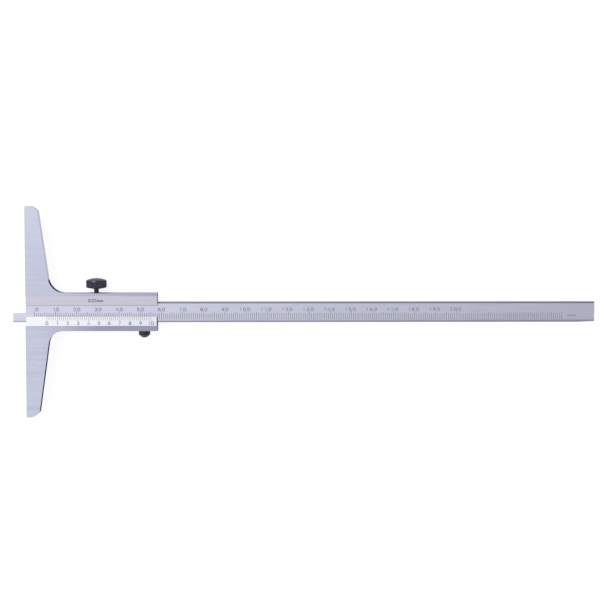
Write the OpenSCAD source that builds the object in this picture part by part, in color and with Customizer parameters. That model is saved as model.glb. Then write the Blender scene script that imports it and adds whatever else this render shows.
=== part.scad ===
// Vernier depth gauge, 200 mm, lying on its back.
// X runs along the beam towards its far end, Y across it towards the clamp knob, Z to the front.
// The origin is on the measuring face, on the beam's centre line, at the back of the frame.

/* [Measuring base] */
// Length of the measuring face, wing end to wing end
base_len = 100; // [70:1:160]
// Thickness of the base and the slider, back to front
frame_t = 6.5; // [6.2:0.1:9]
// Depth of a wing at its end, before the corner is ground round
wing_end_d = 5.8; // [5:0.1:9]
// Depth of a wing where it reaches the slider
wing_root_d = 11.65; // [10:0.05:16]
// Straight part of the upper wing's end
upper_end_flat = 2.8; // [2:0.1:3.8]
// Straight part of the lower wing's end
lower_end_flat = 2; // [1.5:0.1:3.8]
// Depth of the ground corner along a wing's sloping edge
wing_corner_drop = 2.3; // [1.5:0.1:3]
// Radius of the ground corner
wing_corner_r = 7; // [5:0.1:9]
// Radius of the fillet between the upper wing and the slider
upper_fillet_r = 8.2; // [3:0.1:10]
// Radius of the fillet between the lower wing and the slider
lower_fillet_r = 6.8; // [3:0.1:10]

/* [Slider] */
// Length of the slider from the measuring face
slider_len = 62.15; // [60.5:0.05:75]
// Height of the slider's upper side above the beam's centre line
slider_up = 9; // [8.8:0.05:12]
// Depth of the slider's lower side under the beam's centre line
slider_down = 8.85; // [8.5:0.05:12]
// Thickness of the channel floor behind the beam
floor_t = 1.5; // [1.3:0.1:1.8]
// Height of the ridge's inner side above the centre line
upper_rebate = 7.75; // [7.4:0.05:8.2]
// Depth of the lower ridge's inner side under the centre line
lower_rebate = 6.35; // [6.3:0.05:7.6]

/* [Beam] */
// Length of the beam with its measuring tip
beam_len = 275.4; // [262:0.1:300]
// Width of the beam
beam_w = 9.6; // [9.4:0.05:9.7]
// Thickness of the beam
beam_t = 3.5; // [3.2:0.1:3.6]
// Bevel along the beam's four long edges
beam_bevel = 0.5; // [0.1:0.05:0.6]
// Width of the narrow measuring tip
tip_w = 4.15; // [3:0.05:6]
// Length of the narrow measuring tip
tip_len = 6; // [4:0.1:9]
// Radius of the fillet behind the tip
tip_fillet_r = 1; // [0.3:0.1:2]
// Length of the slight taper under the beam's far end
end_taper_len = 7.5; // [2:0.5:12]
// Height of that taper
end_taper_h = 0.4; // [0.1:0.05:1]
// Depth reading at which the beam is drawn
reading = 6; // [0:0.02:200]

/* [Cover strips] */
// Height of the upper strip's lower edge above the centre line
upper_strip_edge = 3.25; // [2.2:0.05:3.8]
// Thickness of the upper strip
upper_strip_t = 1.3; // [1.2:0.05:1.6]
// Bevel round the upper strip's free edges
strip_bevel = 0.25; // [0.1:0.05:0.5]
// Depth of the vernier plate's reading edge under the centre line
vernier_edge = 2; // [1.6:0.05:2.8]
// Thickness of the vernier plate at its back edge
vernier_t = 1.42; // [1.3:0.02:1.6]
// Thickness of the vernier plate at its reading edge
vernier_edge_t = 0.45; // [0.3:0.05:0.8]
// Distance of both strips behind the measuring face
strip_setback = 0.2; // [0:0.05:1]

/* [Strip screws] */
// Number of screws in each strip
fix_count = 3; // [2:1:3]
// Distance of the first screw from the measuring face
fix_first = 7; // [4:0.5:9]
// Distance from one screw to the next
fix_pitch = 21; // [18:0.5:22]
// Diameter of the screw shank
fix_d = 1.1; // [0.9:0.05:1.3]
// Diameter of the countersunk head
fix_head_d = 2.2; // [1.8:0.1:2.6]
// Height of the countersunk head
fix_head_h = 0.8; // [0.5:0.05:1]
// Depth of the screw in its strip
fix_depth = 0.8; // [0.5:0.05:0.9]
// Width of the driver slot
fix_slot_w = 0.4; // [0.2:0.05:0.5]
// Depth of the driver slot
fix_slot_h = 0.35; // [0.2:0.05:0.45]

/* [Gib] */
// Thickness of the gib strip
gib_t = 0.6; // [0.5:0.02:0.7]
// Free travel above the gib
gib_lift = 0.25; // [0.23:0.01:0.35]
// Distance of the gib's ends from the slider's ends
gib_inset = 1; // [0.5:0.1:4]
// Depth of the dimple for the clamp screw
gib_dimple = 0.25; // [0.1:0.05:0.35]

/* [Clamp screw] */
// Distance of the clamp screw from the measuring face
clamp_x = 33.25; // [32.5:0.05:44]
// Diameter of the clamp screw's shank
clamp_d = 2.2; // [1.8:0.1:2.6]
// Diameter of the clamp screw's point
clamp_point_d = 1.3; // [0.8:0.1:1.5]
// Diameter of the knob
knob_d = 9.7; // [8:0.1:12]
// Height of the knob's grip
knob_grip_h = 3.7; // [2:0.05:5]
// Height of the knob's underside cone
knob_cone_h = 0.65; // [0.4:0.05:1.5]
// Height of the knob's domed top
knob_dome_h = 0.85; // [0.6:0.05:2]
// Gap under the knob, where the shank shows
knob_gap = 1.85; // [1.2:0.05:4]
// Number of grooves round the grip
knurl_count = 44; // [24:2:56]
// Depth of each groove
knurl_depth = 0.18; // [0.1:0.01:0.3]
// Bevel at both ends of the grip
knob_bevel = 0.4; // [0.2:0.05:0.6]

/* [Stop screw] */
// Distance of the stop screw from the measuring face
stop_x = 55.85; // [54:0.05:57.5]
// Diameter of the stop screw's shank
stop_d = 2.2; // [1.8:0.1:2.6]
// Diameter of the stop screw's head
stop_head_d = 5.5; // [4:0.1:5.6]
// Height of the head's straight side
stop_head_h = 1.9; // [1:0.1:3]
// Height of the head's cone
stop_cone_h = 1.3; // [0.6:0.1:2]
// Diameter of the flat at the cone's end
stop_flat_d = 2.4; // [1.5:0.1:3]
// Diameter of the dog point in the beam's groove
dog_d = 1.1; // [0.8:0.05:1.4]
// Length of the dog point in the groove
dog_len = 0.8; // [0.5:0.05:1]

/* [Graduations] */
// Largest depth that the gauge reads
max_reading = 200; // [100:10:200]
// Last millimetre line on the beam
scale_lines = 250; // [210:10:250]
// Distance of the beam's zero line from its tip
scale_zero = 10; // [8:0.5:12]
// Distance of the vernier's zero line from the measuring face
vernier_zero = 10; // [8:0.5:12]
// Number of divisions on the vernier
vernier_parts = 50; // [20:10:50]
// Length that the vernier's divisions share
vernier_span = 49; // [48:1:49]
// Width of every line
line_w = 0.18; // [0.08:0.01:0.2]
// Depth of every line
line_depth = 0.05; // [0.03:0.01:0.1]
// Distance of the beam's lines from its lower edge
line_foot = 1.4; // [0.8:0.05:1.6]
// Length of a millimetre line
line_short = 2.9; // [2:0.05:3.3]
// Length of a five millimetre line
line_mid = 3.35; // [3:0.05:3.8]
// Length of a ten millimetre line
line_long = 3.95; // [3.5:0.05:4.8]
// Length of a plain vernier line
vernier_short = 1.8; // [1.2:0.05:2]
// Length of a numbered vernier line
vernier_long = 2.35; // [2:0.05:2.8]

/* [Clearances] */
// Gap between the beam and each face that guides it
beam_play = 0.03; // [0.02:0.01:0.05]
// Radial gap round every screw
screw_play = 0.03; // [0.02:0.01:0.05]
// Gap between the gib and the faces above and under it
gib_side_play = 0.1; // [0.05:0.05:0.2]
// Gap at the ends and sides of the stop groove
groove_play = 0.15; // [0.1:0.05:0.3]

/* [Hidden] */
$fn = 96;

// Steps past a face, so that a cut leaves no skin
over = 1;
// Least distance by which a round cut crosses the edge that it blends with
hair = 0.005;
half_base = base_len / 2;
// Heights over the frame's back
beam_back = floor_t + beam_play;
beam_front = beam_back + beam_t;
seat_z = beam_front + beam_play;
beam_mid = (beam_back + beam_front) / 2;
// Walls of the channel, measured from the beam's centre line
channel_low = -beam_w / 2 - beam_play;
gib_low = beam_w / 2 + beam_play;
channel_high = gib_low + gib_t + gib_lift;
// Screw rows, halfway between the channel's wall and the rebate's wall
upper_row = (channel_high + upper_rebate) / 2;
lower_row = (channel_low - lower_rebate) / 2;
strip_len = slider_len - strip_setback;
vernier_slope = atan((vernier_t - vernier_edge_t) / (lower_rebate - vernier_edge));
vernier_pitch = vernier_span / vernier_parts;
groove_w = dog_d + 2 * groove_play;
groove_depth = dog_len + groove_play;
knob_base = slider_up + knob_gap;
// Radius of the tool that cuts the grip's grooves
knurl_r = 0.35;
// Depth of a screw head under the frame's back
fix_head_sink = 0.05;
// Step between a screw's shank and its point, inside the wall
shoulder_inset = 0.1;

function unit(v) = v / norm(v);

// The corner piece between two straight edges that leave point p along a and b, and the arc
// of radius r that touches both. It runs one step past both edges, and its arc crosses them
// by a hair, so that arc and edge meet in a clean corner.
module spandrel(p, a, b, r) {
    half_angle = acos(a * b) / 2;
    reach = r / tan(half_angle);
    inward = unit(a + b);
    centre = p + inward * r / sin(half_angle);
    past = (r + over) / r;
    difference() {
        polygon([centre, centre + (p + a * reach - centre) * past,
                 p - inward * over / sin(half_angle),
                 centre + (p + b * reach - centre) * past]);
        translate(centre) circle(r + hair);
    }
}

// sign is 1 for the upper wing and -1 for the lower one
function wing_end(sign) = [wing_end_d, sign * half_base];
function wing_root(sign) = [wing_root_d, sign > 0 ? slider_up : -slider_down];
function wing_edge(sign) = unit(wing_root(sign) - wing_end(sign));
function fillet_r(sign) = sign > 0 ? upper_fillet_r : lower_fillet_r;

// The two ends of a wing's ground corner: on the wing's end and on its sloping edge
function corner_from(sign) = [sign > 0 ? upper_end_flat : lower_end_flat, sign * half_base];
function corner_to(sign) =
    wing_end(sign) - sign * wing_edge(sign) * wing_corner_drop / wing_edge(sign)[1];

// What the grinding takes off: all that lies outside an arc through both points. The arc meets
// both edges at an angle, and the piece runs one step past them.
module ground_corner(sign) {
    from = corner_from(sign);
    to = corner_to(sign);
    half_chord = norm(to - from) / 2;
    along = unit(to - from);
    inward = [along[1] * sign, -along[0] * sign];
    centre = (from + to) / 2 + inward * sqrt(pow(wing_corner_r, 2) - pow(half_chord, 2));
    difference() {
        polygon([centre, 2 * from - centre - [over, 0], 2 * to - centre - [0, sign * over]]);
        translate(centre) circle(wing_corner_r);
    }
}

// The T of the base and the slider, with ground wing ends and filleted inner corners
module frame_blank() {
    difference() {
        union() {
            linear_extrude(frame_t)
                polygon([[0, -half_base], [0, half_base], wing_end(1), wing_root(1),
                         [slider_len, slider_up], [slider_len, -slider_down],
                         wing_root(-1), wing_end(-1)]);
            for (sign = [1, -1]) linear_extrude(frame_t)
                spandrel(wing_root(sign), -wing_edge(sign), [1, 0], fillet_r(sign));
        }
        for (sign = [1, -1]) translate([0, 0, -over]) linear_extrude(frame_t + 2 * over)
            ground_corner(sign);
    }
}

// A bar of any section along X: the section's x and y become Y and Z
module bar(len) {
    rotate([90, 0, 90]) linear_extrude(len) children();
}

// Cuts away everything on the outside of an edge along X at height y, with a 45 degree bevel
module edge_bevel(from, len, y, z, size) {
    translate([from, y, z]) rotate([45, 0, 0])
        translate([0, -size / sqrt(2), -size / sqrt(2)])
            cube([len, size * sqrt(2), size * sqrt(2)]);
}

module at_fixings() {
    for (i = [0 : fix_count - 1], y = [upper_row, lower_row])
        translate([fix_first + i * fix_pitch, y, 0]) children();
}

// A countersunk screw's outline, grown by play for its hole
module fixing(play) {
    translate([0, 0, fix_head_sink]) {
        cylinder(h = seat_z + fix_depth + play - fix_head_sink, d = fix_d + 2 * play);
        cylinder(h = fix_head_h, d1 = fix_head_d + 2 * play, d2 = fix_d + 2 * play);
    }
}

module fixing_holes() {
    at_fixings() {
        fixing(screw_play);
        translate([0, 0, -over])
            cylinder(h = over + fix_head_sink, d = fix_head_d + 2 * screw_play);
    }
}

module base_frame() {
    color([0.77, 0.77, 0.84])
    difference() {
        frame_blank();
        translate([-over, channel_low, floor_t])
            cube([slider_len + 2 * over, channel_high - channel_low, frame_t]);
        translate([-over, -lower_rebate, seat_z])
            cube([slider_len + 2 * over, upper_rebate + lower_rebate, frame_t]);
        fixing_holes();
        translate([clamp_x, channel_high - over, beam_mid]) rotate([-90, 0, 0])
            cylinder(h = slider_up, d = clamp_d + 2 * screw_play);
        translate([stop_x, channel_low + over, beam_mid]) rotate([90, 0, 0])
            cylinder(h = slider_down, d = stop_d + 2 * screw_play);
    }
}

// Lines along +X from zero, each standing on y = 0 and as long as its number asks
module scale_cuts(count, pitch, short, mid, long) {
    for (i = [0 : count]) {
        len = i % 10 == 0 ? long : i % 5 == 0 ? mid : short;
        translate([i * pitch - line_w / 2, 0, -line_depth]) cube([line_w, len, line_depth + over]);
    }
}

module beam_section() {
    y = beam_w / 2;
    b = beam_bevel;
    polygon([[-y + b, 0], [y - b, 0], [y, b], [y, beam_t - b],
             [y - b, beam_t], [-y + b, beam_t], [-y, beam_t - b], [-y, b]]);
}

// The notch beside the narrow tip, with a round inner corner, and the taper at the far end
module beam_end_cuts() {
    step_y = tip_w - beam_w / 2;
    linear_extrude(beam_t + 2 * over) difference() {
        translate([-over, step_y]) square([tip_len + over, beam_w]);
        spandrel([tip_len, step_y], [-1, 0], [0, 1], tip_fillet_r);
    }
    linear_extrude(beam_t + 2 * over)
        polygon([[beam_len - end_taper_len, -beam_w / 2],
                 [beam_len + over, -beam_w / 2 + end_taper_h * (1 + over / end_taper_len)],
                 [beam_len + over, -beam_w], [beam_len - end_taper_len, -beam_w]]);
}

module stop_groove() {
    start = stop_x - groove_w / 2;
    translate([start, -beam_w / 2 - over, (beam_t - groove_w) / 2])
        cube([max_reading + groove_w, groove_depth + over, groove_w]);
}

module beam() {
    color([0.74, 0.74, 0.80])
    translate([-reading, 0, beam_back])
    difference() {
        bar(beam_len) beam_section();
        translate([0, 0, -over]) beam_end_cuts();
        stop_groove();
        translate([scale_zero, line_foot - beam_w / 2, beam_t])
            scale_cuts(scale_lines, 1, line_short, line_mid, line_long);
    }
}

module upper_strip() {
    top = seat_z + upper_strip_t;
    color([0.78, 0.77, 0.83])
    difference() {
        translate([strip_setback, upper_strip_edge, seat_z])
            cube([strip_len, upper_rebate - upper_strip_edge, upper_strip_t]);
        edge_bevel(0, slider_len + over, upper_strip_edge, top, strip_bevel);
        translate([slider_len, 0, top]) rotate([0, 0, 90])
            edge_bevel(0, slider_up, 0, 0, strip_bevel);
        fixing_holes();
    }
}

module vernier_plate() {
    color([0.93, 0.94, 0.96])
    difference() {
        translate([strip_setback, 0, seat_z]) bar(strip_len)
            polygon([[-vernier_edge, 0], [-vernier_edge, vernier_edge_t],
                     [-lower_rebate, vernier_t], [-lower_rebate, 0]]);
        translate([vernier_zero, -vernier_edge, seat_z + vernier_edge_t])
            rotate([-vernier_slope, 0, 0]) mirror([0, 1, 0]) translate([0, -over, 0])
                scale_cuts(vernier_parts, vernier_pitch, vernier_short + over,
                           vernier_long + over, vernier_long + over);
        fixing_holes();
    }
}

module strip_screws() {
    color([0.62, 0.62, 0.66])
    at_fixings() difference() {
        fixing(0);
        translate([-fix_head_d, -fix_slot_w / 2, -over])
            cube([2 * fix_head_d, fix_slot_w, over + fix_head_sink + fix_slot_h]);
    }
}

module gib_strip() {
    color([0.80, 0.66, 0.38])
    difference() {
        translate([gib_inset, gib_low, floor_t + gib_side_play])
            cube([slider_len - 2 * gib_inset, gib_t, seat_z - floor_t - 2 * gib_side_play]);
        translate([clamp_x, gib_low + gib_t - gib_dimple, beam_mid]) rotate([-90, 0, 0])
            cylinder(h = gib_t, d = clamp_point_d + 2 * screw_play);
    }
}

// Half of the knob's section: x is the radius, y the height over the beam's centre line
module knob_section() {
    r = knob_d / 2;
    rim = r - knob_bevel;
    grip_low = knob_base + knob_cone_h;
    grip_high = grip_low + knob_grip_h;
    dome_r = (rim * rim + knob_dome_h * knob_dome_h) / (2 * knob_dome_h);
    polygon([[0, knob_base], [clamp_d / 2, knob_base], [rim, grip_low], [r, grip_low + knob_bevel],
             [r, grip_high - knob_bevel], [rim, grip_high], [0, grip_high]]);
    intersection() {
        translate([0, grip_high + knob_dome_h - dome_r]) circle(dome_r);
        translate([0, grip_high - over]) square([rim, knob_dome_h + 2 * over]);
    }
}

module clamp_screw() {
    shoulder = channel_high + shoulder_inset;
    tip = gib_low + gib_t - gib_dimple;
    color([0.2, 0.2, 0.23])
    translate([clamp_x, 0, beam_mid]) rotate([-90, 0, 0]) {
        translate([0, 0, tip]) cylinder(h = slider_up - tip, d = clamp_point_d);
        translate([0, 0, shoulder]) cylinder(h = knob_base + knob_cone_h - shoulder, d = clamp_d);
        difference() {
            rotate_extrude() knob_section();
            for (i = [0 : knurl_count - 1])
                rotate(i * 360 / knurl_count)
                    translate([knob_d / 2 + knurl_r - knurl_depth, 0, knob_base])
                        cylinder(h = knob_cone_h + knob_grip_h + knob_dome_h, r = knurl_r, $fn = 24);
        }
    }
}

module stop_screw() {
    shoulder = -channel_low + shoulder_inset;
    tip = beam_w / 2 - dog_len;
    color([0.2, 0.2, 0.23])
    translate([stop_x, 0, beam_mid]) rotate([90, 0, 0]) {
        translate([0, 0, tip]) cylinder(h = slider_down - tip, d = dog_d);
        translate([0, 0, shoulder]) cylinder(h = slider_down + over - shoulder, d = stop_d);
        translate([0, 0, slider_down]) {
            cylinder(h = stop_head_h, d = stop_head_d);
            translate([0, 0, stop_head_h])
                cylinder(h = stop_cone_h, d1 = stop_head_d, d2 = stop_flat_d);
        }
    }
}

base_frame();
beam();
upper_strip();
vernier_plate();
strip_screws();
gib_strip();
clamp_screw();
stop_screw();
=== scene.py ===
# %% [markdown]
# # A vernier depth gauge
#
# The gauge lies on its back on a white table. Its metal parts come from the CAD model with their
# grooves already cut. This script gives them their finishes and adds what an engraver and a
# screw cutter would: the dark filling of the lines, the numbers and the thread under the knob.
#
# The first step loads the CAD parts. They could be modelled again here, but then a hole or a
# groove might drift from the true size, so they are taken as they are. Their box is kept; its
# lowest point sets the table's height.

# %% Load the parts
import bpy
import math
from mathutils import Matrix, Vector

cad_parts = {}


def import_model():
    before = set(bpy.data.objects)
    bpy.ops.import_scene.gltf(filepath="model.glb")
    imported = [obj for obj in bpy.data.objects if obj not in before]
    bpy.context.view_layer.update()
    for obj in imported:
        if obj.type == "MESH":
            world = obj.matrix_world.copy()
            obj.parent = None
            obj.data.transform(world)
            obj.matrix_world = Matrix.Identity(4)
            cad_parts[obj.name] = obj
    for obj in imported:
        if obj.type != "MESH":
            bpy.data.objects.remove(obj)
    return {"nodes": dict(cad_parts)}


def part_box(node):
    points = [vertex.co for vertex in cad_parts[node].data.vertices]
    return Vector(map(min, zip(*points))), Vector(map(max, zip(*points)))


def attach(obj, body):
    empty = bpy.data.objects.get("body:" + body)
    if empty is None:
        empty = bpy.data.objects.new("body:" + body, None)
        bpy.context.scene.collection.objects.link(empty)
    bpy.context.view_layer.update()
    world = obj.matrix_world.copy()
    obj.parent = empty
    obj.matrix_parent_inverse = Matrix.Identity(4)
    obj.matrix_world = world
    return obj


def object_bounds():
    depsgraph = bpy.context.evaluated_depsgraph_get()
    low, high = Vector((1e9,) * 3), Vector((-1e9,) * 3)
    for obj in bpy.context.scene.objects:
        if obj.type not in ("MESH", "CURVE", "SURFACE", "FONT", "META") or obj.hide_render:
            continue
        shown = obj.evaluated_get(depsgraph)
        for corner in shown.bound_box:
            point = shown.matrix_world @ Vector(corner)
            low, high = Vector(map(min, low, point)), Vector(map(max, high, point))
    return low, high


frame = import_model()
part = frame["nodes"]


def box_numbers(box):
    """The two corners of a box as plain numbers."""
    return [[float(number) for number in corner] for corner in box]


cad_box = box_numbers(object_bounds())
print("parts:", sorted(part))
print("box in metres:", cad_box)

# %% [markdown]
# ## Sizes that the finishes share
#
# The lines and numbers sit on two faces: the flat front of the beam and the sloping front of
# the vernier plate. Their places could be measured by ray casts. The boxes of the CAD parts
# give most of them at once, and the few sizes that a box doesn't show are named here.

# %% Sizes
MM = 0.001
ZERO_FROM_TIP = 10 * MM
LINE_FOOT_HIGH = 1.4 * MM
PLATE_THICK = 1.42 * MM
PLATE_EDGE_THICK = 0.45 * MM
VERNIER_ZERO = 10 * MM
VERNIER_SPAN = 49 * MM
VERNIER_PARTS = 50

frame_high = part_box("base_frame")[1]
beam_low, beam_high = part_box("beam")
plate_low, plate_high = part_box("vernier_plate")
strip_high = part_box("upper_strip")[1]
zero_line = beam_low.x + ZERO_FROM_TIP
line_foot = beam_low.y + LINE_FOOT_HIGH
plate_edge_z = plate_low.z + PLATE_EDGE_THICK
plate_slope = math.atan((PLATE_THICK - PLATE_EDGE_THICK) / (plate_high.y - plate_low.y))
vernier_step = VERNIER_SPAN / VERNIER_PARTS
print("slider ends at", round(frame_high.x / MM, 3), "mm, wing at", round(frame_high.y / MM, 3))
print("beam face at", round(beam_high.z / MM, 3), "mm, plate edge at", round(plate_edge_z / MM, 3))
print("plate slopes by", round(math.degrees(plate_slope), 2), "degrees")


# %% [markdown]
# ## Tools for the finishes
#
# Steel looks like steel because of its fine marks, and these follow the way it was made. A
# noise texture that is stretched along one axis gives the long scratches of a grinding wheel.
# The helpers below add such a noise and turn it into a range of numbers. They read Object
# coordinates, which are real metres here, so a mark has its true size.

# %% Tools for the finishes
MARK_ROUGHNESS = 0.6


def start_finish(name):
    """A new material with its node tree and its main shader."""
    finish = bpy.data.materials.new(name)
    finish.use_nodes = True
    tree = finish.node_tree
    return finish, tree, tree.nodes["Principled BSDF"]


def feed(tree, socket, value):
    """Links a node's output to the socket, or writes a plain value into it."""
    if isinstance(value, bpy.types.NodeSocket):
        tree.links.new(value, socket)
    else:
        socket.default_value = value


def add_marks(tree, per_metre, detail, warp=0.0):
    """Noise with its own number of marks per metre along X, Y and Z."""
    place = tree.nodes.new("ShaderNodeTexCoord")
    stretch = tree.nodes.new("ShaderNodeMapping")
    stretch.inputs["Scale"].default_value = per_metre
    noise = tree.nodes.new("ShaderNodeTexNoise")
    noise.inputs["Scale"].default_value = 1.0
    noise.inputs["Detail"].default_value = detail
    noise.inputs["Roughness"].default_value = MARK_ROUGHNESS
    noise.inputs["Distortion"].default_value = warp
    tree.links.new(place.outputs["Object"], stretch.inputs["Vector"])
    tree.links.new(stretch.outputs["Vector"], noise.inputs["Vector"])
    return noise.outputs["Fac"]


def spread(tree, value, low, high, to_low, to_high):
    """The value moved from one range to another, and held inside it."""
    move = tree.nodes.new("ShaderNodeMapRange")
    move.clamp = True
    for socket, number in (("From Min", low), ("From Max", high),
                           ("To Min", to_low), ("To Max", to_high)):
        move.inputs[socket].default_value = number
    tree.links.new(value, move.inputs["Value"])
    return move.outputs["Result"]


def work_out(tree, operation, *values):
    """The result of a Math node. Each value is a number or the output of a node."""
    step = tree.nodes.new("ShaderNodeMath")
    step.operation = operation
    for socket, value in zip(step.inputs, values):
        feed(tree, socket, value)
    return step.outputs[0]


# %% [markdown]
# ## Colours and relief
#
# A finish needs a colour that changes from place to place, and marks that bend the light. The
# colour is a mix of two others by a number from 0 to 1. The marks could be real grooves, but
# scratches a few thousandths of a millimetre deep would need millions of faces, so a bump node
# only tilts the light over them, by their true depth.

# %% Colours and relief
# A Mix node has its own sockets for each kind of data. These are the ones for colours.
MIX_FIRST = 6
MIX_SECOND = 7
MIX_RESULT = 2


def mix_colours(tree, factor, first, second):
    """A mix of two colours. Each is a plain colour or the output of a node."""
    mix = tree.nodes.new("ShaderNodeMix")
    mix.data_type = "RGBA"
    tree.links.new(factor, mix.inputs["Factor"])
    for number, colour in ((MIX_FIRST, first), (MIX_SECOND, second)):
        solid = (*colour, 1.0) if isinstance(colour, tuple) else colour
        feed(tree, mix.inputs[number], solid)
    return mix.outputs[MIX_RESULT]


def add_relief(tree, shader, height, depth):
    """Bump of a real depth in metres."""
    bump = tree.nodes.new("ShaderNodeBump")
    bump.inputs["Distance"].default_value = depth
    bump.inputs["Strength"].default_value = 1.0
    tree.links.new(height, bump.inputs["Height"])
    tree.links.new(bump.outputs["Normal"], shader.inputs["Normal"])


def dress(node, finish):
    """Gives a CAD part its finish."""
    if not part[node].material_slots:
        part[node].data.materials.append(finish)
    for slot in part[node].material_slots:
        slot.material = finish
    print(node, "gets", finish.name)


# %% [markdown]
# ## Masks
#
# A mask is a number that is 1 where a colour belongs and 0 elsewhere. It could be painted as
# a picture, but a place for painted shade and light on a gauge is easy to say in words: past this
# length, on the side that looks right. So each mask here is made from the place or the direction
# of the surface, and masks are multiplied where a place needs both.

# %% Masks
FRONT_FROM = 0.3
FRONT_FULL = 0.65


def axis_of(tree, source, axis):
    """X, Y or Z of a texture coordinate."""
    place = tree.nodes.new("ShaderNodeTexCoord")
    split = tree.nodes.new("ShaderNodeSeparateXYZ")
    tree.links.new(place.outputs[source], split.inputs["Vector"])
    return split.outputs[axis]


def past(tree, axis, start, end):
    """By place: 0 before the start and 1 past the end, along one axis."""
    return spread(tree, axis_of(tree, "Object", axis), start, end, 0.0, 1.0)


def before(tree, axis, start, end):
    """By place: 1 before the start and 0 past the end, along one axis."""
    return spread(tree, axis_of(tree, "Object", axis), start, end, 1.0, 0.0)


def facing(tree, axis, low, high):
    """By direction: 1 on faces that look along the axis, 0 on those that don't."""
    return spread(tree, axis_of(tree, "Normal", axis), low, high, 0.0, 1.0)


def flat_front(tree, low=FRONT_FROM, high=FRONT_FULL):
    """By direction: 1 on faces that look forward or back, 0 on side faces."""
    turned = work_out(tree, "ABSOLUTE", axis_of(tree, "Normal", "Z"))
    return spread(tree, turned, low, high, 0.0, 1.0)


def reverse(tree, mask):
    """1 where the mask is 0, and 0 where it is 1."""
    return spread(tree, mask, 0.0, 1.0, 1.0, 0.0)


def overlap(tree, first, *others):
    """1 only where all the masks are 1."""
    shared = first
    for mask in others:
        shared = work_out(tree, "MULTIPLY", shared, mask)
    return shared


def recolour(finish, mask, colour):
    """Mixes a colour into the finish where the mask is 1."""
    tree = finish.node_tree
    base = tree.nodes["Principled BSDF"].inputs["Base Color"]
    so_far = base.links[0].from_socket
    tree.links.new(mix_colours(tree, mask, so_far, colour), base)


# %% [markdown]
# ## Ground steel
#
# The frame, the beam and the upper strip are hardened steel that a grinding wheel finished
# along their length. Such a face has long fine lines and slightly cloudy patches where the wheel
# cut deeper. Its side faces are painted darker, and those that look right darker still: painted
# shade. A brushed photograph could be wrapped round the part, but noise that is stretched thirty
# to fifty times along X shows the same grain at any distance and needs no unwrapping.

# %% Ground steel
RIGHTWARD = (0.05, 0.35)
GRAIN_DEPTH = 0.004 * MM


def ground_steel(name, pale, dull, side, end, bevel=(FRONT_FROM, FRONT_FULL)):
    """Steel with a grinding grain along X. Side and end are painted shade; end is for faces that
    look to the right.
    """
    finish, tree, shader = start_finish(name)
    streaks = add_marks(tree, (55.0, 1500.0, 1500.0), detail=4.0)
    scratches = add_marks(tree, (140.0, 7000.0, 7000.0), detail=2.0)
    clouds = add_marks(tree, (45.0, 90.0, 90.0), detail=2.0, warp=0.4)
    streaked = mix_colours(tree, spread(tree, streaks, 0.35, 0.65, 0.0, 1.0), dull, pale)
    cloudy = mix_colours(tree, spread(tree, clouds, 0.3, 0.7, 0.0, 0.5), streaked, pale)
    # Painted shade on the side faces, darkest on those that look right.
    painted_side_shade = mix_colours(tree, facing(tree, "X", *RIGHTWARD), side, end)
    sided = mix_colours(tree, flat_front(tree, *bevel), painted_side_shade, cloudy)
    tree.links.new(sided, shader.inputs["Base Color"])
    tree.links.new(spread(tree, scratches, 0.3, 0.7, 0.28, 0.42), shader.inputs["Roughness"])
    shader.inputs["Metallic"].default_value = 1.0
    add_relief(tree, shader, scratches, GRAIN_DEPTH)
    return finish


# Its side and end colours are painted shade.
strip_finish = ground_steel("ground strip steel", pale=(0.63, 0.61, 0.71), dull=(0.56, 0.54, 0.64),
                            side=(0.34, 0.33, 0.38), end=(0.12, 0.12, 0.15))
dress("upper_strip", strip_finish)


# %% [markdown]
# ## Painted light and shade on the frame
#
# The frame's painted light and shade follow the place. The upper wing is painted paler towards
# its end: painted light. The inner corners and the lower wing's side are painted darker, and a
# little less the slider's end: painted shade. The slider's upper side is painted pale: painted
# light. One cloudy noise over the whole part would be less work, but it would darken the pale
# wing and leave the corners pale.

# %% Painted light and shade on the frame
WING_ROOT = 15.2 * MM
ROOT_BLEND = 0.5 * MM
END_BLEND = (frame_high.x - 0.3 * MM, frame_high.x - 0.2 * MM)
UPPER_LIGHT_FROM = 12 * MM
UPPER_LIGHT_FULL = 20 * MM
UPWARD = (0.6, 0.95)


def clean_wing(finish, lit_front_colour, lit_side_colour):
    """Painted light: the upper wing's front gets paler outwards, and its sides are pale."""
    tree = finish.node_tree
    outward = past(tree, "Y", WING_ROOT, frame_high.y)
    recolour(finish, overlap(tree, outward, flat_front(tree)), lit_front_colour)
    outer = past(tree, "Y", WING_ROOT - ROOT_BLEND, WING_ROOT + ROOT_BLEND)
    recolour(finish, overlap(tree, outer, reverse(tree, flat_front(tree))), lit_side_colour)


def oil_sides(finish, side_shade_colour, end_shade_colour):
    """Painted shade on the sides that look right, below the upper wing. Gives its mask."""
    tree = finish.node_tree
    inner = before(tree, "Y", WING_ROOT - ROOT_BLEND, WING_ROOT + ROOT_BLEND)
    beside = reverse(tree, flat_front(tree))
    shaded_place = overlap(tree, inner, beside, facing(tree, "X", *RIGHTWARD))
    recolour(finish, shaded_place, side_shade_colour)
    recolour(finish, overlap(tree, shaded_place, past(tree, "X", *END_BLEND)), end_shade_colour)
    return shaded_place


def handle_upper_side(finish, upper_light_colour):
    """Painted light on the slider's upper side, past the wing's fillet. Gives its mask."""
    tree = finish.node_tree
    lit_place = overlap(tree, facing(tree, "Y", *UPWARD), past(tree, "X", UPPER_LIGHT_FROM, UPPER_LIGHT_FULL))
    recolour(finish, lit_place, upper_light_colour)
    return lit_place


def cover_metal(finish, *painted_masks):
    """Where shade and light are painted, the steel is no metal, so that it doesn't mirror there."""
    tree = finish.node_tree
    shader = tree.nodes["Principled BSDF"]
    bare = overlap(tree, *[reverse(tree, painted_mask) for painted_mask in painted_masks])
    tree.links.new(bare, shader.inputs["Metallic"])
    shader.inputs["Specular IOR Level"].default_value = 0.0


# Its side and end colours are painted shade.
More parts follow.
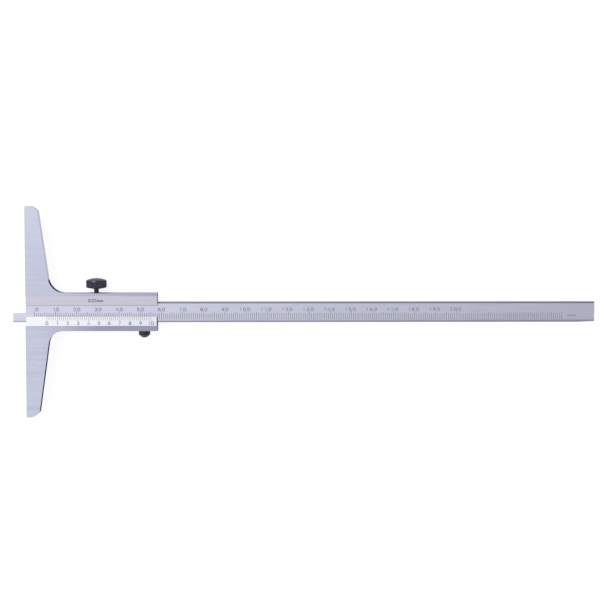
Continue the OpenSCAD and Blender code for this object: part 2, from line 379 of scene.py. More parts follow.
frame_finish = ground_steel("ground frame steel", pale=(0.58, 0.60, 0.73), dull=(0.48, 0.49, 0.64),
                            side=(0.34, 0.34, 0.44), end=(0.05, 0.05, 0.08))
# Painted light on the upper wing.
clean_wing(frame_finish, lit_front_colour=(0.615, 0.635, 0.775), lit_side_colour=(0.385, 0.375, 0.45))
# Painted shade on the inner corners, the lower wing's side and the slider's end.
painted_shade = oil_sides(frame_finish, side_shade_colour=(0.14, 0.132, 0.205), end_shade_colour=(0.23, 0.225, 0.28))
# Painted light on the slider's upper side.
painted_light = handle_upper_side(frame_finish, upper_light_colour=(0.68, 0.67, 0.86))
# No metal where shade and light are painted.
cover_metal(frame_finish, painted_shade, painted_light)
print("oil and grease on the", frame_finish.name)


# %% [markdown]
# ## The two ridges beside the strips
#
# A narrow ridge of the frame stands above the upper strip and another below the vernier
# plate. Both are painted darker, the upper one more and more to the right: painted shade. They
# could be parts of their own with a darker steel, but on the gauge they are one piece with the
# base, so one more mask finds them by their place.

# %% The two ridges
RIDGE_FROM = 8 * MM
RIDGE_FULL = 34 * MM
RIDGE_BLEND = 0.05 * MM
UPPER_RIDGE_GROWTH = (25 * MM, 62 * MM, 0.15, 0.65)


def dull_ridges(finish, dull):
    """Painted shade on the ridge below the plate and, more and more to the right, the one above the
    strip.
    """
    tree = finish.node_tree
    onward = past(tree, "X", RIDGE_FROM, RIDGE_FULL)
    under = before(tree, "Y", plate_low.y - RIDGE_BLEND, plate_low.y)
    recolour(finish, overlap(tree, onward, under, flat_front(tree)), dull)
    growing = spread(tree, axis_of(tree, "Object", "X"), *UPPER_RIDGE_GROWTH)
    over = past(tree, "Y", strip_high.y, strip_high.y + RIDGE_BLEND)
    recolour(finish, overlap(tree, onward, growing, over, flat_front(tree)), dull)


# The dull colour here is painted shade.
dull_ridges(frame_finish, dull=(0.345, 0.34, 0.455))
dress("base_frame", frame_finish)


# %% [markdown]
# ## Painted shade and light on the beam
#
# The beam's front is painted darker close to its two bevels, and along its lower edge more and
# more towards the far end: painted shade. The measuring tip's sides and bevels are painted pale:
# painted light. The edges could be darkened by a node that finds sharp edges, but that node
# works only in one renderer and changes with its samples.

# %% Painted shade and light on the beam
BEAM_FLAT_HALF = 4.3 * MM
BEVEL_BAND = 0.35 * MM
LOWER_BAND = 1.2 * MM
LOWER_BAND_GROWTH = (-10 * MM, 230 * MM, 0.0, 0.6)
TIP_LENGTH = 6 * MM
TIP_BLEND = 0.1 * MM
WITH_BEVELS = (0.62, 0.98)
FRONT_ONLY = (0.9, 0.95)


def dull_edges(finish, dull, rubbed):
    """Painted shade on the front's two long edges, and on a band along the lower one."""
    tree = finish.node_tree
    from_middle = work_out(tree, "ABSOLUTE", axis_of(tree, "Object", "Y"))
    near = spread(tree, from_middle, BEAM_FLAT_HALF - BEVEL_BAND, BEAM_FLAT_HALF, 0.0, 1.0)
    recolour(finish, overlap(tree, near, flat_front(tree, *FRONT_ONLY)), dull)
    lower = before(tree, "Y", -BEAM_FLAT_HALF, LOWER_BAND - BEAM_FLAT_HALF)
    growing = spread(tree, axis_of(tree, "Object", "X"), *LOWER_BAND_GROWTH)
    recolour(finish, overlap(tree, lower, growing, flat_front(tree, *FRONT_ONLY)), rubbed)


def clean_tip(finish, pale):
    """Painted light on the sides and bevels of the measuring tip."""
    tree = finish.node_tree
    tip_end = beam_low.x + TIP_LENGTH
    at_tip = before(tree, "X", tip_end - TIP_BLEND, tip_end)
    beside = reverse(tree, flat_front(tree, *WITH_BEVELS))
    recolour(finish, overlap(tree, at_tip, beside), pale)


# Its side and end colours are painted shade.
beam_finish = ground_steel("ground beam steel", pale=(0.67, 0.68, 0.81), dull=(0.59, 0.60, 0.74),
                           side=(0.14, 0.14, 0.20), end=(0.10, 0.10, 0.14), bevel=WITH_BEVELS)
# The dull and rubbed colours here are painted shade.
dull_edges(beam_finish, dull=(0.31, 0.30, 0.39), rubbed=(0.26, 0.255, 0.33))
# Painted light on the tip.
clean_tip(beam_finish, pale=(0.56, 0.57, 0.68))
dress("beam", beam_finish)


# %% [markdown]
# ## Satin chrome
#
# The vernier plate is plated with matt chrome, so that the lines can be read without glare.
# It is blasted with fine beads first, which leaves tiny round pits and no direction. Noise
# that isn't stretched gives that: a soft, nearly white metal. It is painted duller towards its
# right end, and its sides, its right end face and a band at its right corner are painted dark:
# painted shade and a painted shadow.

# %% Satin chrome
SHADE_FROM = 5 * MM
SHADE_FULL = 60 * MM
SHADOW_CORNER = (plate_high.x - 0.45 * MM, plate_high.x - 0.35 * MM)
END_FACE = (0.3, 0.8)
PIT_DEPTH = 0.003 * MM


def satin_chrome(name, pale, dull, side, end):
    """Bead-blasted chrome. Side and end are painted shade; end is the colour of the right end face
    and of a painted shadow at its corner.
    """
    finish, tree, shader = start_finish(name)
    pits = add_marks(tree, (9000.0, 9000.0, 9000.0), detail=1.0)
    clouds = add_marks(tree, (120.0, 200.0, 200.0), detail=2.0)
    # Painted shade: duller towards the right.
    shaded_right = mix_colours(tree, past(tree, "X", SHADE_FROM, SHADE_FULL), pale, dull)
    cloudy = mix_colours(tree, spread(tree, clouds, 0.3, 0.7, 0.0, 0.3), shaded_right, dull)
    # Painted shadow along the right end.
    with_end_shadow = mix_colours(tree, past(tree, "X", *SHADOW_CORNER), cloudy, end)
    edge = mix_colours(tree, facing(tree, "X", *END_FACE), side, end)
    sided = mix_colours(tree, flat_front(tree), edge, with_end_shadow)
    tree.links.new(sided, shader.inputs["Base Color"])
    tree.links.new(spread(tree, pits, 0.3, 0.7, 0.42, 0.55), shader.inputs["Roughness"])
    shader.inputs["Metallic"].default_value = 1.0
    add_relief(tree, shader, pits, PIT_DEPTH)
    return finish


# Its side and end colours are painted shade.
plate_finish = satin_chrome("satin chrome", pale=(0.92, 0.93, 0.965), dull=(0.82, 0.845, 0.92),
                            side=(0.45, 0.45, 0.5), end=(0.15, 0.145, 0.19))
dress("vernier_plate", plate_finish)


# %% [markdown]
# ## Blackened steel
#
# The clamp screw and the stop screw are turned steel, blackened in a hot salt bath and oiled.
# The black is thin: it shines softly, it is paler where fingers rub it, and turning rings
# show through. A plain black plastic would look dead, so this one is a metal shader with a
# dark base and a faint mottling. At one place on the knob's rim a painted highlight is drawn
# in a pale steel colour.

# %% Blackened steel
# A painted highlight on the knob's rim: its middle, its half size and its colour.
HIGHLIGHT_MIDDLE = (32.3 * MM, 14.75 * MM, 8.2 * MM)
HIGHLIGHT_REACH = (1.3 * MM, 0.4 * MM, 1.5 * MM)
HIGHLIGHT_COLOUR = (0.29, 0.29, 0.325)
RING_DEPTH = 0.006 * MM


def soft_spot(tree, middle, reach):
    """1 in the middle of a soft spot and 0 outside it. Reach is its half size along X, Y, Z."""
    vector = tree.nodes.new("ShaderNodeTexCoord").outputs["Object"]
    for operation, amount in (("SUBTRACT", middle), ("DIVIDE", reach)):
        step = tree.nodes.new("ShaderNodeVectorMath")
        step.operation = operation
        step.inputs[1].default_value = amount
        tree.links.new(vector, step.inputs[0])
        vector = step.outputs[0]
    distance = tree.nodes.new("ShaderNodeVectorMath")
    distance.operation = "LENGTH"
    tree.links.new(vector, distance.inputs[0])
    return spread(tree, distance.outputs["Value"], 0.4, 1.0, 1.0, 0.0)


def blackened_steel(name, dark, rubbed):
    """Oiled black oxide on turned steel, with a painted highlight on the knob's rim."""
    finish, tree, shader = start_finish(name)
    mottle = add_marks(tree, (900.0, 900.0, 900.0), detail=4.0)
    rings = add_marks(tree, (300.0, 9000.0, 300.0), detail=2.0)
    mottled = mix_colours(tree, spread(tree, mottle, 0.45, 0.75, 0.0, 1.0), dark, rubbed)
    spot = soft_spot(tree, HIGHLIGHT_MIDDLE, HIGHLIGHT_REACH)
    # Painted highlight.
    worn = mix_colours(tree, spot, mottled, HIGHLIGHT_COLOUR)
    tree.links.new(worn, shader.inputs["Base Color"])
    tree.links.new(spread(tree, mottle, 0.3, 0.7, 0.34, 0.5), shader.inputs["Roughness"])
    shader.inputs["Metallic"].default_value = 0.55
    add_relief(tree, shader, rings, RING_DEPTH)
    return finish


rubbed_black = blackened_steel("rubbed black oxide", dark=(0.042, 0.040, 0.064),
                               rubbed=(0.078, 0.074, 0.104))
black_finish = blackened_steel("black oxide", dark=(0.028, 0.027, 0.048),
                               rubbed=(0.052, 0.050, 0.076))
dress("clamp_screw", rubbed_black)
dress("stop_screw", black_finish)


# %% [markdown]
# ## Screws at the back and the hidden gib
#
# The six countersunk screws were turned, so their marks run round, but their heads are only
# about two millimetres wide and plain fine noise is enough. The gib is rolled brass, dull
# and slightly streaked along the rolling direction.

# %% Small metal parts
def plain_metal(name, pale, dull, per_metre, shine):
    """A metal with fine marks."""
    finish, tree, shader = start_finish(name)
    marks = add_marks(tree, per_metre, detail=3.0)
    mixed = mix_colours(tree, spread(tree, marks, 0.35, 0.65, 0.0, 1.0), dull, pale)
    tree.links.new(mixed, shader.inputs["Base Color"])
    tree.links.new(spread(tree, marks, 0.3, 0.7, shine, shine + 0.12), shader.inputs["Roughness"])
    shader.inputs["Metallic"].default_value = 1.0
    add_relief(tree, shader, marks, GRAIN_DEPTH)
    return finish


screw_finish = plain_metal("turned screw steel", pale=(0.50, 0.50, 0.53), dull=(0.38, 0.38, 0.41),
                           per_metre=(3000.0, 3000.0, 3000.0), shine=0.3)
gib_finish = plain_metal("rolled brass", pale=(0.76, 0.58, 0.28), dull=(0.60, 0.45, 0.20),
                         per_metre=(80.0, 2500.0, 2500.0), shine=0.4)
dress("strip_screws", screw_finish)
dress("gib_strip", gib_finish)


# %% [markdown]
# ## Dark filling for the engraved lines
#
# After the lines are cut, the engraver wipes a black filling into them, and a little more
# wears off from some lines than from others. It is a dry, matt paint with specks of metal
# showing through, so it gets a rough shader without metal and a fine noise between two greys.
# The beam is rubbed most where it is held, at its far end, so the paint gets paler that way.

# %% Dark filling
BARE_SPECK = (0.30, 0.30, 0.34)
PALER_FROM = 80 * MM
PALER_FULL = 200 * MM
SPECK_DEPTH = 0.004 * MM


def dark_filling(name, near, far):
    """Matt engraver's paint, with one colour near the base and one at the beam's far end."""
    finish, tree, shader = start_finish(name)
    specks = add_marks(tree, (2500.0, 2500.0, 2500.0), detail=2.0)
    rubbed = mix_colours(tree, past(tree, "X", PALER_FROM, PALER_FULL), near, far)
    worn = mix_colours(tree, spread(tree, specks, 0.45, 0.8, 0.0, 0.25), rubbed, BARE_SPECK)
    tree.links.new(worn, shader.inputs["Base Color"])
    tree.links.new(spread(tree, specks, 0.3, 0.7, 0.6, 0.85), shader.inputs["Roughness"])
    add_relief(tree, shader, specks, SPECK_DEPTH)
    print("paint:", name)
    return finish


line_filling = dark_filling("line filling", near=(0.02, 0.018, 0.03), far=(0.17, 0.16, 0.19))
number_filling = dark_filling("number filling", near=(0.12, 0.11, 0.15), far=(0.22, 0.21, 0.26))
plate_filling = dark_filling("plate line filling", near=(0.26, 0.26, 0.29), far=(0.26, 0.26, 0.29))
plate_number_filling = dark_filling("plate number filling", near=(0.12, 0.12, 0.14),
                                    far=(0.12, 0.12, 0.14))


# %% [markdown]
# ## Helpers for node trees
#
# A node tree could be built with one line for each node, each link and each value. That is
# long to read, so one helper adds a node and fills its inputs in one call, and another ends a
# tree in plain geometry with its paint on.

# %% Helpers for node trees
def input_of(node, key):
    """A node's input by its name, with _ for a space, or by its number: n0, n1 and so on."""
    if key[0] == "n" and key[1:].isdigit():
        return node.inputs[int(key[1:])]
    return node.inputs[key.replace("_", " ")]


def start_tree(name, sockets):
    """A Geometry Nodes tree with named inputs. Gives the tree, its input node and an adder."""
    tree = bpy.data.node_groups.new(name, "GeometryNodeTree")
    tree.is_modifier = True
    tree.interface.new_socket("Geometry", in_out="INPUT", socket_type="NodeSocketGeometry")
    for title, kind in sockets:
        tree.interface.new_socket(title, in_out="INPUT", socket_type="NodeSocket" + kind)
    tree.interface.new_socket("Geometry", in_out="OUTPUT", socket_type="NodeSocketGeometry")
    given = tree.nodes.new("NodeGroupInput")

    def add(kind, settings=None, **inputs):
        node = tree.nodes.new(kind)
        for key, value in (settings or {}).items():
            setattr(node, key, value)
        for key, value in inputs.items():
            feed(tree, input_of(node, key), value)
        return node

    return tree, given.outputs, add


def end_tree(tree, add, geometry, given):
    """Real geometry, painted, as the tree's result."""
    real = add("GeometryNodeRealizeInstances", n0=geometry)
    painted = add("GeometryNodeSetMaterial", Geometry=real.outputs[0], Material=given["Finish"])
    result = tree.nodes.new("NodeGroupOutput")
    tree.links.new(painted.outputs[0], result.inputs[0])


# %% [markdown]
# ## Run a tree
#
# A tree shows its result on an object that carries it as a modifier. The modifier could stay,
# so that the sizes can be changed later, but a piece that rides on a body has to be a plain
# mesh. So a carrier runs the tree once, the result is kept as a mesh, and the carrier goes.

# %% Run a tree
def run_tree(tree, name, values, start=None):
    """Runs a tree with these values and gives its result as a plain mesh object."""
    carrier = bpy.data.objects.new("carrier", start or bpy.data.meshes.new("start"))
    bpy.context.scene.collection.objects.link(carrier)
    modifier = carrier.modifiers.new("tree", "NODES")
    modifier.node_group = tree
    for item in tree.interface.items_tree:
        if item.in_out == "INPUT" and item.name in values:
            modifier[item.identifier] = values[item.name]
    seen = bpy.context.evaluated_depsgraph_get()
    mesh = bpy.data.meshes.new_from_object(carrier.evaluated_get(seen))
    bpy.data.objects.remove(carrier)
    mesh.name = name
    made = bpy.data.objects.new(name, mesh)
    bpy.context.scene.collection.objects.link(made)
    lowest = [round(min(corner.co[i] for corner in mesh.vertices) / MM, 2) for i in range(3)]
    highest = [round(max(corner.co[i] for corner in mesh.vertices) / MM, 2) for i in range(3)]
    print(name, "faces", len(mesh.polygons), "from", lowest, "to", highest, "mm")
    return made


# %% [markdown]
# ## A tree for the lines
#
# The beam has 251 lines and the vernier 51. They repeat by a rule: every fifth is longer, and
# on the beam every tenth longer still. They could be placed by a loop in this script. A
# Geometry Nodes tree does it better: the rule is visible, and each size is a named input. The
# tree puts a row of points along X, sets a small bar on each, and gives the bar its length from
# the point's own number. The beam's bars stand on a foot line and the vernier's hang from the
# plate's edge. A negative length would hang them too, but it would turn them inside out.

# %% The tree for the lines
def line_tree():
    """A row of bars along X, sunk under z = 0. Middle is 0.5 to stand on y = 0, -0.5 to hang."""
    tree, given, add = start_tree("row of engraved lines", [
        ("Lines", "Int"), ("Step", "Float"), ("Width", "Float"), ("Short", "Float"),
        ("Every Fifth", "Float"), ("Every Tenth", "Float"), ("Top", "Float"),
        ("Bottom", "Float"), ("Middle", "Float"), ("Slope", "Float"), ("Place", "Vector"),
        ("Finish", "Material")])
    step = add("ShaderNodeCombineXYZ", X=given["Step"])
    points = add("GeometryNodeMeshLine", {"mode": "OFFSET"}, Count=given["Lines"],
                 Offset=step.outputs[0])
    number = add("GeometryNodeInputIndex").outputs[0]

    def is_multiple(of):
        rest = work_out(tree, "MODULO", number, float(of))
        return work_out(tree, "LESS_THAN", rest, 0.5)

    def pick(choice, when_false, when_true):
        return add("GeometryNodeSwitch", {"input_type": "FLOAT"}, Switch=choice,
                   n1=when_false, n2=when_true).outputs[0]

    fifth = pick(is_multiple(5), given["Short"], given["Every Fifth"])
    length = pick(is_multiple(10), fifth, given["Every Tenth"])
    thick = work_out(tree, "SUBTRACT", given["Top"], given["Bottom"])
    size = add("ShaderNodeCombineXYZ", X=given["Width"], Y=length, Z=thick)
    bar = add("GeometryNodeMeshCube", Size=(1.0, 1.0, 1.0))
    middle = add("ShaderNodeCombineXYZ", Y=given["Middle"], Z=0.5)
    standing = add("GeometryNodeTransform", Geometry=bar.outputs[0],
                   Translation=middle.outputs[0])
    row = add("GeometryNodeInstanceOnPoints", Points=points.outputs[0],
              Instance=standing.outputs[0], Scale=size.outputs[0])
    sink = add("ShaderNodeCombineXYZ", Z=given["Bottom"])
    sunk = add("GeometryNodeTransform", Geometry=row.outputs[0], Translation=sink.outputs[0])
    tilt = add("ShaderNodeCombineXYZ", X=given["Slope"])
    placed = add("GeometryNodeTransform", Geometry=sunk.outputs[0], Rotation=tilt.outputs[0],
                 Translation=given["Place"])
    end_tree(tree, add, placed.outputs[0], given)
    return tree


# %% [markdown]
# ## Fill the lines
#
# Each line on the real gauge is a groove with paint in it. The grooves are in the CAD parts,
# so the bars of paint are a little narrower and end just under the steel. Painting the lines
# on a flat face would be simpler, but the grooves' edges catch the light and show the depth.

# %% Fill the lines
BEAM_LINES = 251
FOOT_GAP = 0.005 * MM
line_rule = line_tree()
line_values = {"Width": 0.17 * MM, "Top": -0.008 * MM, "Bottom": -0.049 * MM}
beam_lines = run_tree(line_rule, "beam_line_filling", {
    **line_values, "Lines": BEAM_LINES, "Step": 1.0 * MM, "Short": 2.89 * MM,
    "Every Fifth": 3.34 * MM, "Every Tenth": 3.94 * MM, "Middle": 0.5, "Slope": 0.0,
    "Place": (zero_line, line_foot + FOOT_GAP, beam_high.z), "Finish": line_filling})
plate_lines = run_tree(line_rule, "vernier_line_filling", {
    **line_values, "Lines": VERNIER_PARTS + 1, "Step": vernier_step, "Short": 1.79 * MM,
    "Every Fifth": 2.34 * MM, "Every Tenth": 2.34 * MM, "Middle": -0.5, "Slope": -plate_slope,
    "Place": (VERNIER_ZERO, plate_high.y, plate_edge_z), "Finish": plate_filling})

# %% [markdown]
# ## Numbers in single strokes
#
# The numbers were cut by a small round tool that follows one line, as a pen does. A text
# object in Blender has thick and thin letters from a printer's font, which looks wrong here.
# So each digit is written as the path of the tool, in a box one high, and a second tree turns
# every path into a thin ribbon.

# %% The tool's paths
DIGIT_WIDTH = 0.6
ARC_STEPS = 14


def arc(middle_x, middle_y, wide, high, start, end):
    """Points on part of an ellipse, its angles in degrees."""
    turn = [math.radians(start + (end - start) * i / ARC_STEPS) for i in range(ARC_STEPS + 1)]
    return [(middle_x + wide * math.cos(a), middle_y + high * math.sin(a)) for a in turn]


SIX = [arc(0.30, 0.30, 0.27, 0.29, 0, 360), [(0.03, 0.32), (0.09, 0.62), (0.24, 0.86), (0.44, 1.0)]]
STROKES = {
    "0": [arc(0.30, 0.70, 0.26, 0.29, 0, 180) + arc(0.30, 0.29, 0.26, 0.29, 180, 360)
          + [(0.56, 0.70)]],
    "1": [[(0.12, 0.78), (0.34, 1.0), (0.34, 0.0)]],
    "2": [arc(0.30, 0.72, 0.25, 0.27, 165, -35) + [(0.03, 0.0), (0.57, 0.0)]],
    "3": [arc(0.28, 0.76, 0.23, 0.23, 150, -90) + arc(0.28, 0.27, 0.27, 0.27, 90, -150)],
    "4": [[(0.44, 0.0), (0.44, 1.0), (0.02, 0.30), (0.60, 0.30)]],
    "5": [[(0.54, 1.0), (0.12, 1.0), (0.08, 0.55)] + arc(0.28, 0.32, 0.28, 0.31, 125, -145)],
    "6": SIX,
    "7": [[(0.03, 1.0), (0.57, 1.0), (0.22, 0.0)]],
    "8": [arc(0.30, 0.76, 0.22, 0.23, -90, 270), arc(0.30, 0.27, 0.27, 0.27, 90, 450)],
    "9": [[(DIGIT_WIDTH - x, 1.0 - y) for x, y in stroke] for stroke in SIX],
    ".": [[(0.0, 0.0), (0.0, 0.08)]],
    "m": [[(0.02, 0.0), (0.02, 0.62)],
          [(0.02, 0.40)] + arc(0.235, 0.40, 0.215, 0.22, 180, 0)[1:] + [(0.45, 0.0)],
          [(0.45, 0.40)] + arc(0.665, 0.40, 0.215, 0.22, 180, 0)[1:] + [(0.88, 0.0)]],
}
SIGN_WIDTH = {"1": 0.46, ".": 0.0, "m": 0.9}
print("paths for", len(STROKES), "signs")


# %% [markdown]
# ## From words to paths
#
# An engraver sets up a word sign by sign, each with its own width and one gap between them.
# Two ribbons that cross at exactly the same height would flicker in the picture. Lifting one
# by hand would do for one word, but here each path climbs by a micrometre as it is drawn, and
# every second path starts a little higher.

# %% From words to paths
SIGN_GAP = 0.26
PATH_CLIMB = 0.001 * MM
ODD_PATH_LIFT = 1.5 * PATH_CLIMB


def word_width(word):
    """Width of a word whose height is one."""
    return sum(SIGN_WIDTH.get(sign, DIGIT_WIDTH) + SIGN_GAP for sign in word) - SIGN_GAP


def write_word(paths, word, left, low, high, wide):
    """Adds the tool's paths for a word, from its lower left corner."""
    for sign in word:
        for stroke in STROKES[sign]:
            paths.append([(left + x * wide, low + y * high) for x, y in stroke])
        left += (SIGN_WIDTH.get(sign, DIGIT_WIDTH) + SIGN_GAP) * wide


def path_mesh(name, paths):
    """A mesh of plain edges. Each path climbs a micrometre, so that no two ribbons lie level."""
    corners = []
    edges = []
    for order, path in enumerate(paths):
        first = len(corners)
        climb = PATH_CLIMB / len(path)
        start = (order % 2) * ODD_PATH_LIFT
        corners += [(x, y, start + i * climb) for i, (x, y) in enumerate(path)]
        edges += [(first + i, first + i + 1) for i in range(len(path) - 1)]
    mesh = bpy.data.meshes.new(name)
    mesh.from_pydata(corners, edges, [])
    return mesh


# %% [markdown]
# ## A tree for the strokes
#
# The second tree takes a mesh of plain edges, makes curves of them and draws a thin flat
# section along each. Curves could be given a round bevel with less work, but a round stroke
# stands out of the steel like a wire, and paint lies flat.

# %% The tree for the strokes
def stroke_tree():
    """Turns paths on z = 0 into flat ribbons, then tilts and places them."""
    tree, given, add = start_tree("engraved strokes", [
        ("Stroke Width", "Float"), ("Stroke Height", "Float"), ("Slope", "Float"),
        ("Place", "Vector"), ("Finish", "Material")])
    path = add("GeometryNodeMeshToCurve", n0=given["Geometry"])
    level = add("GeometryNodeSetCurveNormal", {"mode": "Z_UP"}, Curve=path.outputs[0])
    ribbon = add("GeometryNodeCurvePrimitiveQuadrilateral", Width=given["Stroke Width"],
                 Height=given["Stroke Height"])
    drawn = add("GeometryNodeCurveToMesh", Curve=level.outputs[0],
                Profile_Curve=ribbon.outputs[0], Fill_Caps=True)
    tilt = add("ShaderNodeCombineXYZ", X=given["Slope"])
    placed = add("GeometryNodeTransform", Geometry=drawn.outputs[0], Rotation=tilt.outputs[0],
                 Translation=given["Place"])
    end_tree(tree, add, placed.outputs[0], given)
    return tree


stroke_rule = stroke_tree()
stroke_values = {"Stroke Width": 0.26 * MM, "Stroke Height": 0.012 * MM}
print("strokes are", stroke_values["Stroke Width"] / MM, "mm wide")


# %% [markdown]
# ## The numbers on the beam
#
# The beam is numbered every ten millimetres. A number straddles its line: the last nought
# stands right of it and the other digits left. A loop that centres each number would be
# shorter, but then the line would run into a digit. So each digit has its own middle, counted
# from the line. The unit stands at the far end.

# %% The numbers on the beam
PAINT_LIFT = 0.003 * MM
LAST_NUMBER = 200
NUMBER_STEP = 10
BEAM_SIGN_HIGH = 1.43 * MM
BEAM_SIGN_WIDE = 2.05 * MM
BEAM_SIGN_LOW = 0.57 * MM
SIGN_MIDDLES = {1: [1.2], 2: [-1.0, 1.0], 3: [-2.75, -0.78, 1.28]}
NEARER_ONE = {"10": 0.3}
UNIT_LEFT = 256.7 * MM
UNIT_LOW = -2.2 * MM
UNIT_HIGH = 1.2 * MM
UNIT_WIDE = 1.9 * MM

beam_paths = []
for number in range(0, LAST_NUMBER + 1, NUMBER_STEP):
    line_x = zero_line + number * MM
    word = str(number)
    for sign, middle in zip(word, SIGN_MIDDLES[len(word)]):
        if sign == "1":
            middle += NEARER_ONE.get(word, 0.0)
        left = line_x + middle * MM - word_width(sign) * BEAM_SIGN_WIDE / 2
        write_word(beam_paths, sign, left, BEAM_SIGN_LOW, BEAM_SIGN_HIGH, BEAM_SIGN_WIDE)
write_word(beam_paths, "mm", UNIT_LEFT, UNIT_LOW, UNIT_HIGH, UNIT_WIDE)
beam_numbers = run_tree(stroke_rule, "beam_numbers", {
    **stroke_values, "Slope": 0.0, "Place": (0.0, 0.0, beam_high.z + PAINT_LIFT),
    "Finish": number_filling}, path_mesh("beam paths", beam_paths))

# %% [markdown]
# ## The numbers on the plate and the mark on the strip
#
# The vernier plate has a number under every fifth line, centred there because nothing is in
# its way. The upper strip says what one step of the vernier is worth.

# %% The numbers on the plate and the mark on the strip
LINES_PER_NUMBER = 5
PLATE_SIGN_HIGH = 1.4 * MM
PLATE_SIGN_WIDE = 2.0 * MM
PLATE_SIGN_LOW = -3.95 * MM
MARK_LEFT = 29.7 * MM
MARK_LOW = 4.85 * MM
MARK_SIZE = 1.4 * MM

plate_paths = []
for number in range(VERNIER_PARTS // LINES_PER_NUMBER + 1):
    line_x = VERNIER_ZERO + number * LINES_PER_NUMBER * vernier_step
    left = line_x - word_width(str(number)) * PLATE_SIGN_WIDE / 2
    write_word(plate_paths, str(number), left, PLATE_SIGN_LOW, PLATE_SIGN_HIGH, PLATE_SIGN_WIDE)
plate_numbers = run_tree(stroke_rule, "vernier_numbers", {
    **stroke_values, "Slope": -plate_slope,
    "Place": (0.0, plate_high.y, plate_edge_z + PAINT_LIFT), "Finish": plate_number_filling},
    path_mesh("plate paths", plate_paths))

strip_paths = []
write_word(strip_paths, "0.02mm", MARK_LEFT, MARK_LOW, MARK_SIZE, MARK_SIZE)
strip_mark = run_tree(stroke_rule, "reading_mark", {
    **stroke_values, "Slope": 0.0, "Place": (0.0, 0.0, strip_high.z + PAINT_LIFT),
    "Finish": line_filling}, path_mesh("strip paths", strip_paths))

# %% [markdown]
# ## The thread under the knob
#
# Between the knob and the slider a little of the clamp screw's thread shows. The CAD part has
# a plain shank there. A thread is a ridge that climbs round the shank, so a third tree draws a
# climbing curve and gives it a three-sided section. A bump texture would be cheaper, but the
# outline would stay smooth. The ridge ends short of the slider, so that it stays clear of the
# hole when the screw goes down.

# %% The thread
SLIDER_UP = 9.0 * MM
THREAD_CLEAR = 0.42 * MM


def thread_tree():
    """A three-sided ridge that climbs round the Y axis."""
    tree, given, add = start_tree("climbing thread", [
        ("Turns", "Float"), ("Radius", "Float"), ("Height", "Float"), ("Ridge", "Float"),
        ("Place", "Vector"), ("Finish", "Material")])
    climb = add("GeometryNodeCurveSpiral", Resolution=24, Rotations=given["Turns"],
                Start_Radius=given["Radius"], End_Radius=given["Radius"], Height=given["Height"])
    ridge = add("GeometryNodeCurvePrimitiveCircle", Resolution=3, Radius=given["Ridge"])
    drawn = add("GeometryNodeCurveToMesh", Curve=climb.outputs[0],
                Profile_Curve=ridge.outputs[0], Fill_Caps=True)
    placed = add("GeometryNodeTransform", Geometry=drawn.outputs[0],
                 Rotation=(math.radians(-90), 0.0, 0.0), Translation=given["Place"])
    end_tree(tree, add, placed.outputs[0], given)
    return tree


clamp_low, clamp_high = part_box("clamp_screw")
thread_place = ((clamp_low.x + clamp_high.x) / 2, SLIDER_UP + THREAD_CLEAR,
                (clamp_low.z + clamp_high.z) / 2)
thread = run_tree(thread_tree(), "clamp_thread", {
    "Turns": 3.0, "Radius": 1.1 * MM, "Height": 1.3 * MM, "Ridge": 0.13 * MM,
    "Place": thread_place, "Finish": rubbed_black})

# %% [markdown]
# ## The pieces ride on their bodies
#
# What is engraved on the beam moves with the beam, and what is engraved on the plate or the
# strip stays with the frame. The thread turns with the clamp screw. The pieces could be joined
# to the CAD parts, but then nobody could change the paint alone.

# %% Ride
for piece, body, slot in ((beam_lines, "beam", "beam_steel"), (beam_numbers, "beam", "beam_steel"),
                          (plate_lines, "frame", "satin_chrome"),
                          (plate_numbers, "frame", "satin_chrome"),
                          (strip_mark, "frame", "strip_steel"), (thread, "clamp", "black_oxide")):
    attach(piece, body)
    print(piece.name, "rides on", body)

# %% [markdown]
# ## The table
#
# The gauge lies on white paper. A plain white sheet would throw light back into every steel
# side, so the paper is grey to the light and glows white to the camera and to what mirrors it.
# The gauge's soft shadow stays on it.

# %% The table
TABLE_SIZE = 6.0
TABLE_MIDDLE_X = 0.13
PAPER_GREY = 0.24
PAPER_GLOW = 0.86

table_z = cad_box[0][2]
bpy.ops.mesh.primitive_plane_add(size=TABLE_SIZE, location=(TABLE_MIDDLE_X, 0.0, table_z))
table = bpy.context.object
table.name = "table"
paper, tree, shader = start_finish("white paper")
shader.inputs["Base Color"].default_value = (PAPER_GREY, PAPER_GREY, PAPER_GREY, 1.0)
shader.inputs["Roughness"].default_value = 0.9
shader.inputs["Specular IOR Level"].default_value = 0.0
shader.inputs["Emission Color"].default_value = (1.0, 1.0, 1.0, 1.0)
ray = tree.nodes.new("ShaderNodeLightPath")
seen = ray.outputs["Is Camera Ray"]
for kind in ("Is Glossy Ray", "Is Transmission Ray"):
    seen = work_out(tree, "MAXIMUM", seen, ray.outputs[kind])
tree.links.new(spread(tree, seen, 0.0, 1.0, 0.0, PAPER_GLOW), shader.inputs["Emission Strength"])
table.data.materials.append(paper)
print("table at", round(table_z / MM, 3), "mm")

# %% [markdown]
# ## The light
#
# The light is wide and soft. The world is bright at the left and falls to a bluish grey at the
# right, so that the steel gets slowly darker that way. At both far sides it levels out,
# because steel mirrors what surrounds it and the gauge has to look plain from every side. A
# few large lamps could do the same, but each would show as a stripe in the steel.

# %% The light
LEFT_LIGHT = 1.60
RIGHT_LIGHT = 0.18
FAR_LEFT_LIGHT = 0.95
FAR_RIGHT_LIGHT = 0.85
LEVEL_LIGHT = 0.7
FALL = (-0.45, 0.45)
FAR_LEFT = (-0.7, -0.4)
FAR_RIGHT = (0.5, 0.75)
RISE = (0.0, 0.7)
BLUER = (-0.05, 0.25)
WHITE = (1.0, 1.0, 1.0)
BLUISH = (0.93, 0.94, 1.0)

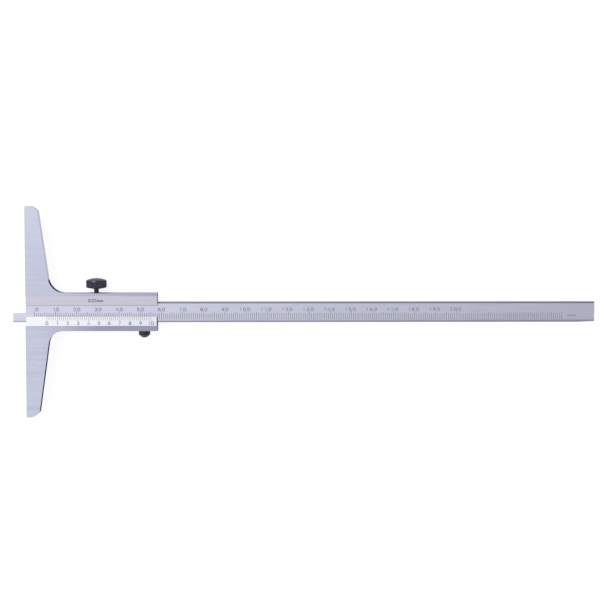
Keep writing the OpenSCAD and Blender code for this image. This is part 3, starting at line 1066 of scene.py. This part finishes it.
world = bpy.data.worlds.new("studio")
bpy.context.scene.world = world
world.use_nodes = True
tree = world.node_tree
sky = tree.nodes["Background"]
to_right = axis_of(tree, "Generated", "X")
strength = spread(tree, to_right, *FALL, LEFT_LIGHT, RIGHT_LIGHT)
far_left = spread(tree, to_right, *FAR_LEFT, FAR_LEFT_LIGHT, LEFT_LIGHT)
far_right = spread(tree, to_right, *FAR_RIGHT, RIGHT_LIGHT, FAR_RIGHT_LIGHT)
upward = spread(tree, axis_of(tree, "Generated", "Z"), *RISE, LEVEL_LIGHT, 1.0)
for operation, other in (("MINIMUM", far_left), ("MAXIMUM", far_right), ("MULTIPLY", upward)):
    strength = work_out(tree, operation, strength, other)
tree.links.new(strength, sky.inputs["Strength"])
bluer = spread(tree, to_right, *BLUER, 0.0, 1.0)
tree.links.new(mix_colours(tree, bluer, WHITE, BLUISH), sky.inputs["Color"])
print("light from", LEFT_LIGHT, "at the left to", RIGHT_LIGHT, "at the right")

# %% [markdown]
# ## The soft lamp
#
# The domed knob shows one bright spot, which a wide light can't give. A brighter patch in the
# world would draw it as well, but it would also light the flat steel. One small soft lamp
# beyond the upper wing reaches the dome and leaves the front nearly as it is.

# %% The soft lamp
LAMP_SIZE = 0.2
LAMP_WATTS = 2.0
LAMP_PLACE = Vector((-0.36, 0.85, 0.42))
LAMP_AIM = Vector((0.13, 0.0, 0.0))

lamp_data = bpy.data.lights.new("soft lamp", "AREA")
lamp_data.shape = "RECTANGLE"
lamp_data.size = LAMP_SIZE
lamp_data.size_y = LAMP_SIZE
lamp_data.energy = LAMP_WATTS
lamp = bpy.data.objects.new("soft lamp", lamp_data)
lamp.location = LAMP_PLACE
lamp.rotation_euler = (LAMP_AIM - LAMP_PLACE).to_track_quat("-Z", "Y").to_euler()
bpy.context.scene.collection.objects.link(lamp)
print("lamp of", LAMP_WATTS, "watts,", round((LAMP_AIM - LAMP_PLACE).length, 2), "metres away")

# %% [markdown]
# ## The camera
#
# The photograph was taken from about a metre above, with a long lens, leaning a little to the
# knob's side. The place could be guessed by eye. It was found by laying the beam's own
# millimetre lines over the picture, which fixes the distance and the two small angles.

# %% The camera
PHOTO_WIDTH = 600
SENSOR = 36.0
LENS_PIXELS = 1900.96
CAMERA_AWAY = 0.9
CAMERA_AIM = Vector((129.529 * MM, 5.713 * MM, 5.0 * MM))
LEAN = 5.115
SIDESTEP = 1.1919
ROLL = 0.043

turn = Matrix.Identity(3)
for degrees, axis in ((ROLL, "Z"), (SIDESTEP, "Y"), (LEAN, "X")):
    turn = turn @ Matrix.Rotation(math.radians(degrees), 3, axis)
camera_data = bpy.data.cameras.new("camera")
camera_data.sensor_width = SENSOR
camera_data.lens = LENS_PIXELS * SENSOR / PHOTO_WIDTH
camera_data.clip_end = 20.0
camera = bpy.data.objects.new("camera", camera_data)
camera.location = CAMERA_AIM + CAMERA_AWAY * turn[2]
camera.rotation_euler = turn.transposed().to_euler()
bpy.context.scene.collection.objects.link(camera)
bpy.context.scene.camera = camera
bpy.context.scene.view_settings.view_transform = "Standard"
print("lens in millimetres:", round(camera_data.lens, 2))
